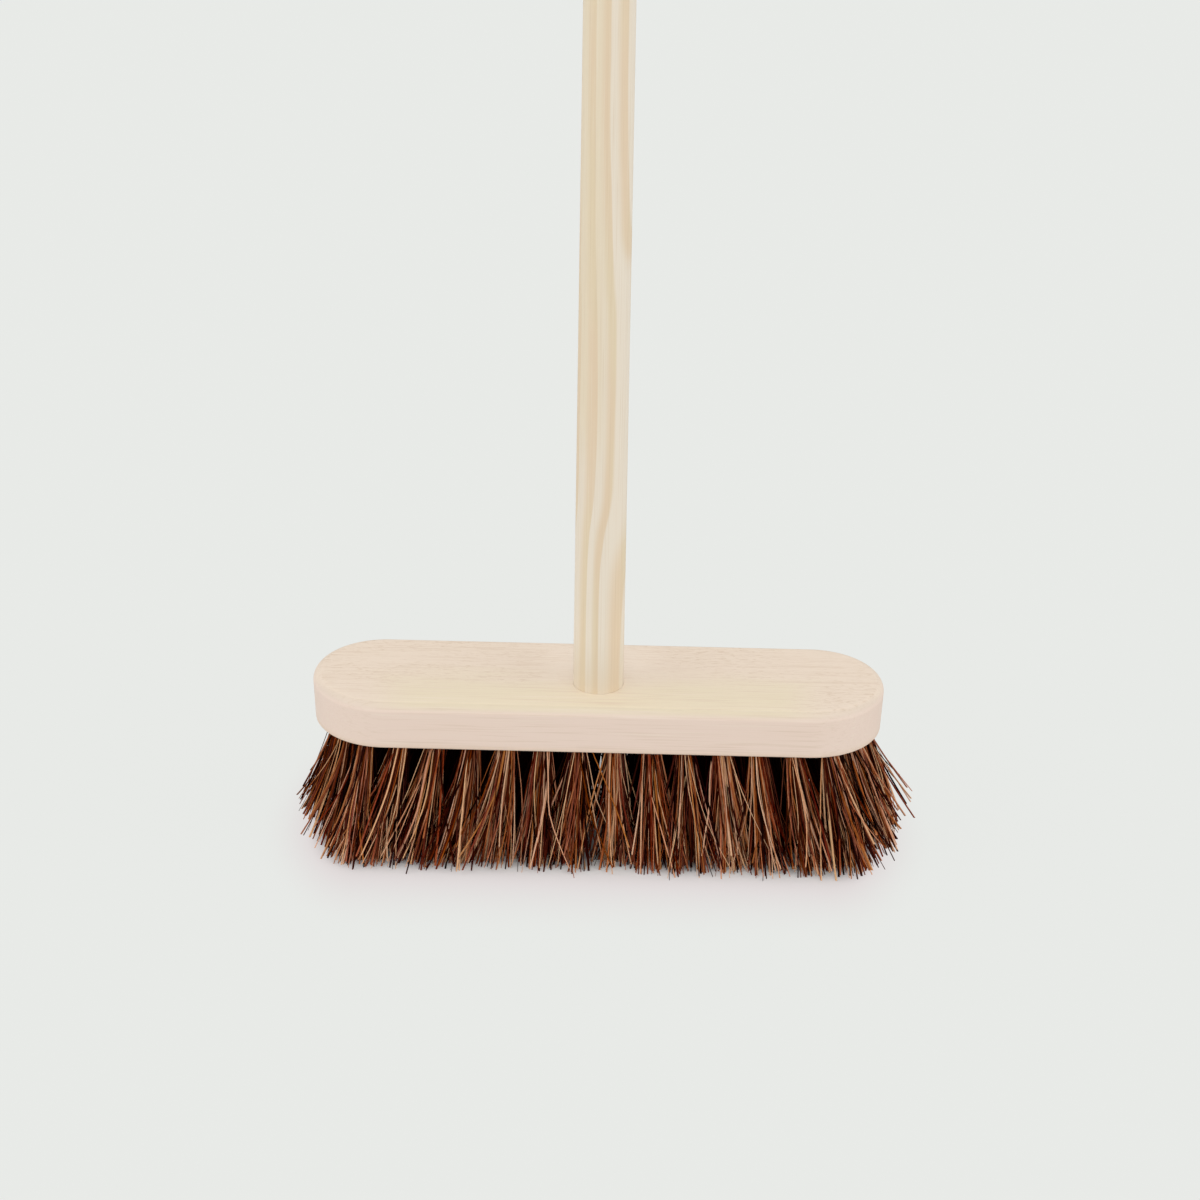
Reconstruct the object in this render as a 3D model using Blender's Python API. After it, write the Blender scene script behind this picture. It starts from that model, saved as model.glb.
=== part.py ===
"""Bassine broom: a wooden stock, a round handle driven into it, and folded tufts of stiff palm fibre.

Lengths are in metres and +Z is up. The origin is on the floor under the middle of the stock, X runs along
the stock and the front is towards -Y. The broom stands upright on its trimmed fibre tips.
"""

import math
import random

import bmesh
import bpy
from mathutils import Vector

# Stock, the wooden block, whose side leans in by the draft from its top to its underside
STOCK_LENGTH = 0.290
STOCK_WIDTH = 0.075
STOCK_HEIGHT = 0.0255
SIDE_DRAFT = 0.0015
TOP_ROUNDING = 0.005
LOWER_ROUNDING = 0.001
END_SEGMENTS = 24
TOP_SEGMENTS = 4
LOWER_SEGMENTS = 2

# Handle, a round pole whose foot sits in a blind socket in the top of the stock
HANDLE_DIAMETER = 0.0254
HANDLE_LENGTH = 1.220
HANDLE_FORWARD = 0.008
HANDLE_DOME = 0.008
HANDLE_FOOT_CHAMFER = 0.0015
HANDLE_SIDES = 48
DOME_SEGMENTS = 5
SOCKET_FLOOR = 0.0065
SOCKET_WALL = 0.0015
FIT_CLEARANCE = 0.0003

# Blind holes in the underside, in staggered rows from front to back. Each row stops short of the ends
# by a margin of its own, and the row that passes under the handle's socket has no holes in its middle
ROW_MARGIN = 0.0105
FRONT_END_MARGIN = 0.02865
FRONT_INNER_END_MARGIN = 0.0197
BACK_INNER_END_MARGIN = 0.015
BACK_END_MARGIN = 0.0376
ROWS = (
    ("front", 14, FRONT_END_MARGIN),
    ("front_inner", 15, FRONT_INNER_END_MARGIN),
    ("back_inner", 16, BACK_INNER_END_MARGIN),
    ("back", 13, BACK_END_MARGIN),
)
SOCKET_ROW = "front_inner"
SOCKET_HOLES = 3
HOLE_DIAMETER = 0.009
HOLE_DEPTH = 0.012
DRILL_POINT = 0.0015
HOLE_SIDES = 10

# Tufts: each is a bundle that is folded over a hidden staple, so its root is pinched to a ridge
BRISTLE_LENGTH = 0.064
TRIM_DEPTH = 0.0005
OUTER_FIBRES = 8
FIBRE_SIDES = 3
FIBRE_TIP_RADIUS = 0.0009
FIBRE_INSET = 0.00025
ROOT_GAP = 0.00015
TUFT_GAP = 0.0005
FOLD_WIDTH = 0.0026
END_SPLAY = 0.0190
SIDE_SPLAY = 0.005
SPLAY_POWER = 3
RING_REACH_SHARES = (0.75, 1.0)
CORE_REACH_SHARE = 0.3
RING_TURN_SHARE = 0.22
SEED = 7

# Smallest distance that still counts as one point
MERGE_DISTANCE = 0.000001
SHARP_ANGLE = math.radians(35)

# Colours as linear RGB, then roughness
STOCK_FINISH = ((0.79, 0.68, 0.54), 0.62)
HANDLE_FINISH = ((0.78, 0.67, 0.47), 0.55)
FIBRE_FINISHES = (
    ((0.105, 0.040, 0.018), 0.60),
    ((0.160, 0.064, 0.028), 0.58),
    ((0.235, 0.105, 0.046), 0.55),
)

# Values that follow from the sizes above
UNDERSIDE = BRISTLE_LENGTH
STOCK_TOP = UNDERSIDE + STOCK_HEIGHT
HANDLE_RADIUS = HANDLE_DIAMETER / 2
HOLE_RADIUS = HOLE_DIAMETER / 2
SOCKET_RADIUS = HANDLE_RADIUS + FIT_CLEARANCE
SOCKET_DEPTH = STOCK_HEIGHT - SOCKET_FLOOR
PLUG_RADIUS = HOLE_RADIUS - FIT_CLEARANCE
PLUG_HEIGHT = HOLE_DEPTH - DRILL_POINT - FIT_CLEARANCE
LONGEST_REACH = STOCK_LENGTH / 2 - min(margin for name, count, margin in ROWS)
HOLE_PITCHES = {name: (STOCK_LENGTH - 2 * margin) / (count - 1) for name, count, margin in ROWS}
OUTER_ROW = STOCK_WIDTH / 2 - ROW_MARGIN
ROW_PITCH = 2 * OUTER_ROW / (len(ROWS) - 1)
SECTOR = 2 * math.pi / OUTER_FIBRES
HALF_SECTOR_SINE = math.sin(SECTOR / 2)
FIBRE_RADIUS = ((PLUG_RADIUS - FIBRE_INSET) * HALF_SECTOR_SINE - ROOT_GAP / 2) / (1 + HALF_SECTOR_SINE)
RING_RADIUS = PLUG_RADIUS - FIBRE_INSET - FIBRE_RADIUS
FAN_RADIUS = (min(ROW_PITCH, *HOLE_PITCHES.values()) - TUFT_GAP) / 2 - FIBRE_TIP_RADIUS


def clear_scene():
    """Remove every object of the open file."""
    for item in list(bpy.data.objects):
        bpy.data.objects.remove(item, do_unlink=True)


def make_material(name, finish):
    """Return a Principled material with a colour and a roughness."""
    colour, roughness = finish
    material = bpy.data.materials.new(name)
    material.use_nodes = True
    shader = material.node_tree.nodes["Principled BSDF"]
    shader.inputs["Base Color"].default_value = (*colour, 1)
    shader.inputs["Roughness"].default_value = roughness
    shader.inputs["Metallic"].default_value = 0
    material.diffuse_color = (*colour, 1)
    return material


def make_object(name, shape, material=None, location=(0, 0, 0), parent=None):
    """Turn a finished bmesh into a named object with outward faces."""
    bmesh.ops.recalc_face_normals(shape, faces=shape.faces)
    mesh = bpy.data.meshes.new(name)
    shape.to_mesh(mesh)
    shape.free()
    if material:
        mesh.materials.append(material)
    item = bpy.data.objects.new(name, mesh)
    item.location = location
    item.parent = parent
    bpy.context.scene.collection.objects.link(item)
    return item


def shade_round(item):
    """Shade a round piece smooth and keep its real edges sharp."""
    item.data.shade_smooth()
    item.data.set_sharp_from_angle(angle=SHARP_ANGLE)


def cut_with(item, cutter):
    """Subtract a hidden cutter from an object."""
    cutter.hide_render = True
    cutter.display_type = "WIRE"
    cut = item.modifiers.new(cutter.name, "BOOLEAN")
    cut.operation = "DIFFERENCE"
    cut.solver = "EXACT"
    cut.object = cutter


def polar(radius, angle):
    """Return a point of the XY plane from its distance and direction."""
    return Vector((radius * math.cos(angle), radius * math.sin(angle), 0))


def ring_points(radius, sides, turn=0.0):
    """Return the corners of a regular polygon in the XY plane."""
    return [polar(radius, turn + 2 * math.pi * step / sides) for step in range(sides)]


def add_ring(shape, points, centre):
    """Add the vertices of one ring around a centre."""
    return [shape.verts.new(point + centre) for point in points]


def join_rings(shape, first, second):
    """Add the side faces between two rings of as many corners."""
    for index, corner in enumerate(first):
        after = (index + 1) % len(first)
        shape.faces.new((corner, first[after], second[after], second[index]))


def add_turned(shape, profile, sides, centre=(0, 0, 0)):
    """Spin a profile of (radius, height) points about an upright axis through a centre."""
    foot = Vector(centre)
    corners = [shape.verts.new(foot + Vector((radius, 0, height))) for radius, height in profile]
    lines = [shape.edges.new(pair) for pair in zip(corners, corners[1:])]
    bmesh.ops.spin(shape, geom=corners + lines, cent=foot, axis=(0, 0, 1), angle=2 * math.pi, steps=sides)


def weld(shape):
    """Merge the seam and the axis points that a spin leaves double."""
    bmesh.ops.remove_doubles(shape, verts=shape.verts, dist=MERGE_DISTANCE)


def stock_outline(inset):
    """Return the outline of the stock, two straight sides with full-round ends, drawn in by an inset."""
    radius = STOCK_WIDTH / 2 - inset
    reach = (STOCK_LENGTH - STOCK_WIDTH) / 2
    points = []
    for side in (1, -1):
        for step in range(END_SEGMENTS + 1):
            angle = math.pi * (step / END_SEGMENTS - 0.5)
            along = side * (reach + radius * math.cos(angle))
            points.append(Vector((along, side * radius * math.sin(angle), 0)))
    return points


def rim_edges(shape, height):
    """Return the edges that lie all round the block at one height."""
    return [edge for edge in shape.edges if all(abs(v.co.z - height) < MERGE_DISTANCE for v in edge.verts)]


def stock_block():
    """Join the outlines of the underside and the top, and round both edges."""
    shape = bmesh.new()
    lower = add_ring(shape, stock_outline(SIDE_DRAFT), Vector((0, 0, 0)))
    upper = add_ring(shape, stock_outline(0), Vector((0, 0, STOCK_HEIGHT)))
    join_rings(shape, lower, upper)
    shape.faces.new(reversed(lower))
    shape.faces.new(upper)
    for height, rounding, segments in (
        (STOCK_HEIGHT, TOP_ROUNDING, TOP_SEGMENTS),
        (0, LOWER_ROUNDING, LOWER_SEGMENTS),
    ):
        bmesh.ops.bevel(
            shape,
            geom=rim_edges(shape, height),
            offset=rounding,
            offset_type="OFFSET",
            segments=segments,
            profile=0.5,
            affect="EDGES",
        )
    return shape


def beside_socket(along, across):
    """Return the place of a hole, moved straight away from the socket where their wall would be too thin."""
    needed = SOCKET_RADIUS + SOCKET_WALL + HOLE_RADIUS
    forward = across + HANDLE_FORWARD
    distance = math.hypot(along, forward)
    if distance >= needed:
        return along, across
    return along * needed / distance, forward * needed / distance - HANDLE_FORWARD


def tuft_places():
    """Return the name and the place of each tuft, without those that the handle's socket displaces."""
    places = []
    for row, (row_name, count, margin) in enumerate(ROWS):
        for index in range(count):
            step = index - (count - 1) / 2
            if row_name == SOCKET_ROW and abs(step) < SOCKET_HOLES / 2:
                continue
            place = beside_socket(step * HOLE_PITCHES[row_name], row * ROW_PITCH - OUTER_ROW)
            places.append((f"tuft_{row_name}_{index + 1:02d}", *place))
    return places


def make_stock(broom, places):
    """Make the wooden block with its handle socket and its tuft holes."""
    material = make_material("stock_wood", STOCK_FINISH)
    stock = make_object("stock", stock_block(), material, (0, 0, UNDERSIDE), broom)
    shade_round(stock)
    socket = bmesh.new()
    above = STOCK_HEIGHT + SOCKET_DEPTH
    profile = ((0, SOCKET_FLOOR), (SOCKET_RADIUS, SOCKET_FLOOR), (SOCKET_RADIUS, above), (0, above))
    add_turned(socket, profile, HANDLE_SIDES, (0, -HANDLE_FORWARD, 0))
    weld(socket)
    cut_with(stock, make_object("socket_cutter", socket, location=stock.location, parent=broom))
    holes = bmesh.new()
    wall = HOLE_DEPTH - DRILL_POINT
    profile = ((0, -HOLE_DEPTH), (HOLE_RADIUS, -HOLE_DEPTH), (HOLE_RADIUS, wall), (0, HOLE_DEPTH))
    for name, along, across in places:
        add_turned(holes, profile, HOLE_SIDES, (along, across, 0))
    weld(holes)
    cut_with(stock, make_object("hole_cutter", holes, location=stock.location, parent=broom))


def make_handle(broom):
    """Make the pole with a chamfered foot and a domed upper end."""
    shoulder = HANDLE_LENGTH - HANDLE_DOME
    profile = [(0, 0), (HANDLE_RADIUS - HANDLE_FOOT_CHAMFER, 0), (HANDLE_RADIUS, HANDLE_FOOT_CHAMFER)]
    for step in range(DOME_SEGMENTS + 1):
        angle = math.pi / 2 * step / DOME_SEGMENTS
        radius = HANDLE_RADIUS * math.cos(angle) if step < DOME_SEGMENTS else 0
        profile.append((radius, shoulder + HANDLE_DOME * math.sin(angle)))
    shape = bmesh.new()
    add_turned(shape, profile, HANDLE_SIDES)
    weld(shape)
    seat = STOCK_TOP - SOCKET_DEPTH + FIT_CLEARANCE
    material = make_material("handle_pine", HANDLE_FINISH)
    shade_round(make_object("handle", shape, material, (0, -HANDLE_FORWARD, seat), broom))


def splay(along, across):
    """Return how far a tuft leans outwards by the time it reaches the floor."""
    end = along / LONGEST_REACH
    side = across / OUTER_ROW
    return Vector((END_SPLAY * end**SPLAY_POWER, SIDE_SPLAY * side, 0))


def fibre_lines(draw, lean):
    """Return the root and the floor point of each fibre, one in the core and the rest in a ring.

    Each ring fibre keeps to its own sector, and no fibre leaves the tuft's own circle on the floor, so
    none of them cross.
    """
    turn = draw.uniform(0, 2 * math.pi)
    core = polar(FAN_RADIUS * CORE_REACH_SHARE * draw.random(), turn)
    lines = [(Vector((0, 0, 0)), core + lean)]
    for index in range(OUTER_FIBRES):
        angle = turn + index * SECTOR
        swing = angle + SECTOR * RING_TURN_SHARE * draw.uniform(-1, 1)
        reach = FAN_RADIUS * draw.uniform(*RING_REACH_SHARES)
        lines.append((polar(RING_RADIUS, angle), polar(reach, swing) + lean))
    return lines


def fibre_tip(root, floor_point):
    """Return where a fibre ends: at its full length, or where the trim cuts it flat at the floor."""
    whole = floor_point - Vector((0, 0, BRISTLE_LENGTH)) - root
    share = (BRISTLE_LENGTH + TRIM_DEPTH) / whole.length
    return root + whole * min(share, 1)


def add_fibre(shape, root, tip, turn):
    """Add one tapered fibre with a flat tip and return its open root ring."""
    root_ring = add_ring(shape, ring_points(FIBRE_RADIUS, FIBRE_SIDES, turn), root)
    tip_ring = add_ring(shape, ring_points(FIBRE_TIP_RADIUS, FIBRE_SIDES, turn), tip)
    join_rings(shape, root_ring, tip_ring)
    shape.faces.new(tip_ring)
    return root_ring


def ring_edges(shape, ring):
    """Return the edges along a closed ring of vertices."""
    return [shape.edges.get((ring[index - 1], ring[index])) for index in range(len(ring))]


def make_tuft(name, along, across, material, broom, draw):
    """Make one tuft: the folded root that fills its hole, fused to its fanned-out fibres."""
    shape = bmesh.new()
    mouth_points = ring_points(PLUG_RADIUS, HOLE_SIDES)
    pinch = FOLD_WIDTH / (2 * PLUG_RADIUS)
    fold_points = [Vector((point.x, point.y * pinch, 0)) for point in mouth_points]
    mouth = add_ring(shape, mouth_points, Vector((0, 0, 0)))
    fold = add_ring(shape, fold_points, Vector((0, 0, PLUG_HEIGHT)))
    join_rings(shape, mouth, fold)
    shape.faces.new(fold)
    open_edges = ring_edges(shape, mouth)
    for root, floor_point in fibre_lines(draw, splay(along, across)):
        root_ring = add_fibre(shape, root, fibre_tip(root, floor_point), draw.uniform(0, 2 * math.pi))
        open_edges += ring_edges(shape, root_ring)
    bmesh.ops.triangle_fill(shape, edges=open_edges, use_beauty=True, normal=(0, 0, -1))
    make_object(name, shape, material, (along, across, UNDERSIDE), broom)


def build():
    """Assemble the broom under one empty at its origin."""
    clear_scene()
    broom = bpy.data.objects.new("broom", None)
    bpy.context.scene.collection.objects.link(broom)
    places = tuft_places()
    make_stock(broom, places)
    make_handle(broom)
    draw = random.Random(SEED)
    tones = [make_material(f"bassine_{index}", finish) for index, finish in enumerate(FIBRE_FINISHES, 1)]
    for name, along, across in places:
        make_tuft(name, along, across, draw.choice(tones), broom, draw)


build()
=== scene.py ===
import math

import bmesh
import bpy
import numpy as np
from mathutils import Matrix, Vector


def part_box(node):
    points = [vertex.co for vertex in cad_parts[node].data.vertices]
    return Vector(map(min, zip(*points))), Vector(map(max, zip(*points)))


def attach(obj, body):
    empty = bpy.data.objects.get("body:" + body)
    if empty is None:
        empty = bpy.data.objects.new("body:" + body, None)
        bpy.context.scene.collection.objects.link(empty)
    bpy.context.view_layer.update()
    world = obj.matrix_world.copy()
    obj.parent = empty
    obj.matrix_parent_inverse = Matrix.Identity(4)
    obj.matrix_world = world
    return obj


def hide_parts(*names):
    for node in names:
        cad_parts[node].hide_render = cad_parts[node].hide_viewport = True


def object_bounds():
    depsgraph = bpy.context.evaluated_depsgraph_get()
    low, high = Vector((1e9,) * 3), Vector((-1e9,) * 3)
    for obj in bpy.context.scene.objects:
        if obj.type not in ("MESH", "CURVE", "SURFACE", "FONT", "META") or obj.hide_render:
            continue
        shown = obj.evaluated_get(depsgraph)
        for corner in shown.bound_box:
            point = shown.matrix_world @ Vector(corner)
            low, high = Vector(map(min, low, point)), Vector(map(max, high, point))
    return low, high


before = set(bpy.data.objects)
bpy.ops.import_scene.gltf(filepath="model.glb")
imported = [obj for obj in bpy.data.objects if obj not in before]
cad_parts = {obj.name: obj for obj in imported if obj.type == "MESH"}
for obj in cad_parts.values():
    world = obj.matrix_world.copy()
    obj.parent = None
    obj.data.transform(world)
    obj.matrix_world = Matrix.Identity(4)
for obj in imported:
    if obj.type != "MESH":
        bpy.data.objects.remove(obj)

CAD_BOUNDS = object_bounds()
MM = 0.001

# The frame's own sizes, in metres
STOCK_LOW, STOCK_HIGH = (Vector(corner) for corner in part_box("stock"))
HANDLE_LOW, HANDLE_HIGH = (Vector(corner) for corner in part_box("handle"))
UNDERSIDE = STOCK_LOW.z
STOCK_LENGTH = STOCK_HIGH.x - STOCK_LOW.x
STOCK_WIDTH = STOCK_HIGH.y - STOCK_LOW.y
STOCK_HEIGHT = STOCK_HIGH.z - STOCK_LOW.z
HALF_LENGTH = STOCK_LENGTH / 2
HALF_WIDTH = STOCK_WIDTH / 2
HANDLE_FOOT = Vector((
    (HANDLE_LOW.x + HANDLE_HIGH.x) / 2,
    (HANDLE_LOW.y + HANDLE_HIGH.y) / 2,
    HANDLE_LOW.z,
))
HANDLE_RADIUS = (HANDLE_HIGH.x - HANDLE_LOW.x) / 2
HANDLE_LENGTH = HANDLE_HIGH.z - HANDLE_LOW.z
TUFT_NODES = sorted(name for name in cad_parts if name.startswith("tuft_"))

# Shapes of the stock and of what is cut into it
TOP_ROUNDING = 5.0 * MM
LOWER_ROUNDING = 1.0 * MM
SIDE_DRAFT = 1.5 * MM
END_SEGMENTS = 64
TOP_SEGMENTS = 10
LOWER_SEGMENTS = 4
HOLE_RADIUS = 4.5 * MM
HOLE_DEPTH = 12.0 * MM
HOLE_POINT = 1.5 * MM
HOLE_SIDES = 24
ROOT_CLEARANCE = 1.0 * MM
SOCKET_GAP = 0.08 * MM
SOCKET_SPACE = 0.3 * MM
OVERRUN = 5.0 * MM
MERGE_DISTANCE = 0.001 * MM
SHARP_ANGLE = math.radians(35)

# Shape of the handle
HANDLE_SIDES = 96
HANDLE_DOME = 8.0 * MM
HANDLE_CHAMFER = 1.5 * MM
DOME_SEGMENTS = 12

# Each grain below is a size along X, Y and Z, a detail and a warp, and each range is what mapped() takes

# Wood of the stock: creamy in front of the middle of its top, pinker elsewhere
CREAM_TINT = (230, 216, 190)
PINK_TINT = (232, 215, 197)
SIDE_TINTS = ((232, 211, 195), (234, 215, 201))
DRIFT_GRAIN = ((110.0 * MM, 22.0 * MM, 22.0 * MM), 2.0, 0.0)
CREAM_WANDER = 22.0 * MM
CREAM_BACK_RANGE = (-22.0 * MM, 6.0 * MM)
CREAM_REACH = 88.0 * MM
CREAM_FADE = 32.0 * MM
FACE_RANGE = (0.10, 0.85)

# A tanner band along the lower edge, and painted shade on the arris at the front of the top
LOW_TINT = (224, 200, 176)
LOW_BAND = 4.0 * MM
LOW_SHARE = 0.7
ARRIS_PAINTED_SHADE = (0.89, 0.89, 0.89, 1.0)
ARRIS_RISE_RANGE = (0.05, 0.60)
ARRIS_FALL_RANGE = (0.96, 1.00, 1.0, 0.0)
ARRIS_FRONT_RANGE = (-0.45, -0.10, 1.0, 0.15)

# Fine darker lines along the grain, fainter on the ends, and pale streaks
LINE_TINT = (216, 194, 172)
LINE_GRAIN = ((45.0 * MM, 0.9 * MM, 0.9 * MM), 4.0, 0.3)
LINE_RANGE = (0.50, 0.72, 0.0, 0.50)
LINE_END_LOSS = 0.8
STREAK_TINT = (236, 221, 204)
STREAK_GRAIN = ((60.0 * MM, 1.6 * MM, 1.6 * MM), 2.0, 0.0)
STREAK_RANGE = (0.55, 0.75, 0.0, 0.45)

# Short flecks on the top, in patches, most where the wood is pink
FLECK_TINT = (214, 192, 169)
FLECK_GRAIN = ((5.0 * MM, 0.9 * MM, 0.9 * MM), 3.0, 1.0)
FLECK_RANGE = (0.50, 0.68)
FLECK_ZONE_GRAIN = ((60.0 * MM, 20.0 * MM, 20.0 * MM), 1.0, 0.0)
FLECK_ZONE_RANGE = (0.28, 0.58, 0.35, 1.0)
FLECK_PINK_RANGE = (0.0, 1.0, 0.15, 0.80)
FLECK_TOP_RANGE = (0.70, 0.98)
FLECK_MIDDLE_RANGE = (0.0, CREAM_REACH, 0.80, 1.0)
FLECK_DEPTH_SHARE = 0.5

# Painted light: a paler patch of the top round a place behind the handle's foot, which offsets the handle's
# shadow there
PAINTED_LIGHT_TINT = (244, 230, 214)
PAINTED_LIGHT_BEHIND = 16.0 * MM
PAINTED_LIGHT_PLACE = Vector((HANDLE_FOOT.x, HANDLE_FOOT.y + PAINTED_LIGHT_BEHIND, STOCK_HIGH.z))
PAINTED_LIGHT_RANGE = (14.0 * MM, 42.0 * MM, 0.45, 0.0)

# Surface of the stock's wood
STOCK_ROUGHNESS_RANGE = (0.3, 0.7, 0.58, 0.70)
STOCK_BUMP = 0.04 * MM
STOCK_GLOSS = 0.30

# Growth rings of the handle, round a pith that lies well to the left of it
PITH_DISTANCE = 70.0 * MM
RING_PITCH = 7.8 * MM
RING_PHASE = 4.0 * MM
WAVER_GRAIN = ((12.0 * MM, 12.0 * MM, 90.0 * MM), 1.0, 0.0)
WAVER = 0.8 * MM

# How the rings wander sideways, less towards the left: share of the length, share of the widest drift
RING_DRIFT_SHARES = (
    (0.00, 0.20), (0.045, 0.10), (0.085, 0.34), (0.115, 0.92), (0.155, 1.00), (0.20, 0.76), (0.24, 0.52),
    (0.32, 0.30), (0.42, 0.55), (0.52, 0.85), (0.62, 0.45), (0.74, 0.15), (0.86, 0.50), (1.00, 0.80),
)
RING_DRIFT = 6.6 * MM
RING_DRIFT_START = -3.2 * MM
EDGE_CALM = 13.0 * MM
EDGE_CALM_SHARE = 0.35

# How much wider the years grow to the right of the middle band: share of the length, share of their width
RING_WIDENING_SHARES = (
    (0.00, 0.22), (0.04, 0.22), (0.055, 0.25), (0.08, 0.45), (0.10, 0.64), (0.195, 0.70), (0.225, 0.0),
    (0.60, 0.20), (1.00, 0.10),
)
MIDDLE_BAND_END = 3.5 * MM

# Wood of the handle: tan late wood with one sharp side, and pale early wood, yellower on the upper left
TAN_TINTS = ((222, 205, 173), (223, 201, 171))
TAN_GRAIN = ((16.0 * MM, 16.0 * MM, 120.0 * MM), 2.0, 0.0)
TAN_RANGE = (0.38, 0.62)
TAN_SHARE = 0.92
TAN_BUMP_SHARE = 0.5
LATE_RISE_RANGE = (0.22, 0.72)
LATE_FALL_RANGE = (0.93, 1.0, 1.0, 0.0)
PALE_PINE_TINT = (230, 219, 201)
YELLOW_PINE_TINT = (227, 213, 187)
YELLOW_EDGE = 4.0 * MM
YELLOW_SIDE_RANGE = (HANDLE_FOOT.x - YELLOW_EDGE, HANDLE_FOOT.x + YELLOW_EDGE, 1.0, 0.0)
YELLOW_HEIGHT_RANGE = (110.0 * MM, 160.0 * MM)
PINE_GRAIN = ((0.55 * MM, 0.55 * MM, 70.0 * MM), 3.0, 0.0)
DARK_PINE_TINT = (210, 189, 158)
DARK_PINE_RANGE = (0.52, 0.75, 0.0, 0.40)
LIGHT_PINE_TINT = (233, 224, 208)
LIGHT_PINE_RANGE = (0.26, 0.46, 0.30, 0.0)
# Painted shade near the foot of the handle, which offsets light bounced onto it from the stock
FOOT_PAINTED_SHADE = (200, 184, 160)
FOOT_SHADE_RANGE = (0.0, 34.0 * MM, 0.45, 0.0)
HANDLE_ROUGHNESS_RANGE = (0.3, 0.7, 0.46, 0.60)
HANDLE_BUMP = 0.03 * MM
HANDLE_GLOSS = 0.35

# Skin of the fibres: what each tone looks like, from nearly black to tan, and their lengthwise streaks
FIBRE_TINTS = (
    (0.00, (14, 1, 0)),
    (0.25, (62, 11, 1)),
    (0.50, (123, 54, 26)),
    (0.75, (176, 106, 66)),
    (1.00, (219, 170, 132)),
)
FIBRE_GRAIN = ((0.5 * MM, 0.5 * MM, 12.0 * MM), 3.0, 0.0)
FIBRE_STREAK = 0.18
FIBRE_ROUGHNESS_RANGE = (0.3, 0.7, 0.48, 0.62)
FIBRE_BUMP = 0.03 * MM
FIBRE_GLOSS = 0.02

# Size and make of the fibres of a tuft, in clumps that lean alike
SEED = 20
FIBRES = 140
CLUMPS = 16
FIBRE_SIDES = 5
FIBRE_RINGS = 11
FIBRE_WIDTH = 0.66 * MM
FIBRE_WIDTH_SPREAD = 0.38
FIBRE_WIDTH_LIMITS = (0.30 * MM, 1.40 * MM)
END_WIDENING = 0.40
FLATNESS_SHARES = (0.4, 0.9)
TWIST_SPREAD = 0.8
SWELL_SHARE = 0.10
SWELL_ANGLES = (3, 9)
FIBRE_SHARP_ANGLE = math.radians(80)
EXTRA_LENGTH = 1.5 * MM
FIBRE_LENGTH = UNDERSIDE + EXTRA_LENGTH
LENGTH_SPREAD = 1.6 * MM
SHORT_SHARE = 0.12
SHORT_BY = 16.0 * MM
ROOT_DEPTH = 5.0 * MM
ROOT_RADIUS = 3.9 * MM
GOLDEN_ANGLE = math.pi * (3 - math.sqrt(5))

# Lean of the tufts: outwards along the stock, by its stations from the middle to an end, and to both sides
LEAN_STATION_SHARES = (0.0, 0.22, 0.34, 0.48, 0.60, 0.80, 1.0)
LEFT_LEAN_SHARES = (0.0, 0.30, 0.62, 0.95, 0.96, 1.0, 1.12)
RIGHT_LEAN_SHARES = (0.0, 0.12, 0.22, 0.36, 0.60, 1.25, 1.1)
LEFT_LEAN = 14.0 * MM
RIGHT_LEAN = 16.0 * MM
SIDE_LEAN = 13.5 * MM
LEAN_SPREAD = 1.8 * MM
ENDNESS_POWER = 4

# Spread of the fibres within a tuft at their tips
FAN = 5.5 * MM
END_FAN = -1.5 * MM
CLUMP_SCATTER = 2.6 * MM
SCATTER = 1.4 * MM
SPREAD_POWERS = (0.95, 1.45)
LEFT_END_POWER = 0.45
RIGHT_END_POWER = -0.20

# Late turns of the fibres, and strays, kinks and bows, which grow calmer towards the ends
END_CALM = 0.7
STRAY_SHARE = 0.22
STRAY_REACH = 17.0 * MM
STRAY_REACH_SHARES = (0.4, 1.0)
STRAY_DEPTH_SHARE = 0.6
LATE_TURN = 3.6 * MM
LATE_TURN_SHARES = (0.10, 0.60)
LATE_POWER = 1.4
KINK_SHARE = 0.22
KINK_SLOPE = 20.0 * MM
KINK_SLOPE_SHARES = (0.4, 1.0)
KINK_STATION_SHARES = (0.35, 0.8)
BOW = 1.2 * MM

# Loose fibres that stick out past the right end, and how far any tip may reach
END_STRAY_STATION_SHARES = (0.72, 0.88)
RIGHT_END_STRAY_SHARE = 0.13
END_STRAY_REACH = (20.0 * MM, 29.0 * MM)
END_STRAY_SHORTER = 16.0 * MM
LEFT_EDGE = 151.0 * MM
RIGHT_EDGE = 151.5 * MM
STRAY_EDGE = 161.0 * MM
END_MARGIN = 16.0 * MM
SIDE_MARGIN = 11.0 * MM

# Tones of the fibres: each has its own, those inside the bundle are darkened with painted shade, most tips
# are worn pale and some are darkened with painted shade
TONE = 0.52
TONE_SPREAD = 0.40
TUFT_TONE_SPREAD = 0.05
CLUMP_TONE_SPREAD = 0.08
WIDE_SHADE = 0.22
# Painted shade for fibres deep in the bundle, fading out towards its outside and its ends
INNER_PAINTED_SHADE = 0.95
UNSHADED_DEPTH = 10.0 * MM
INNER_SHADE_FADE = 9.0 * MM
END_UNSHADED_START = 124.0 * MM
END_SHADE_FADE = 14.0 * MM
TIP_START_SHARE = 0.75
TIP_WEAR = 0.16
# Painted shade on the tips of some fibres
DARK_TIP_SHARE = 0.15
DARK_TIP_SHADE = 0.50
PLAIN_HUE = 0.5
HUE_REACH = 0.010
VIVIDNESS_LIMITS = (0.90, 1.08)

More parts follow.
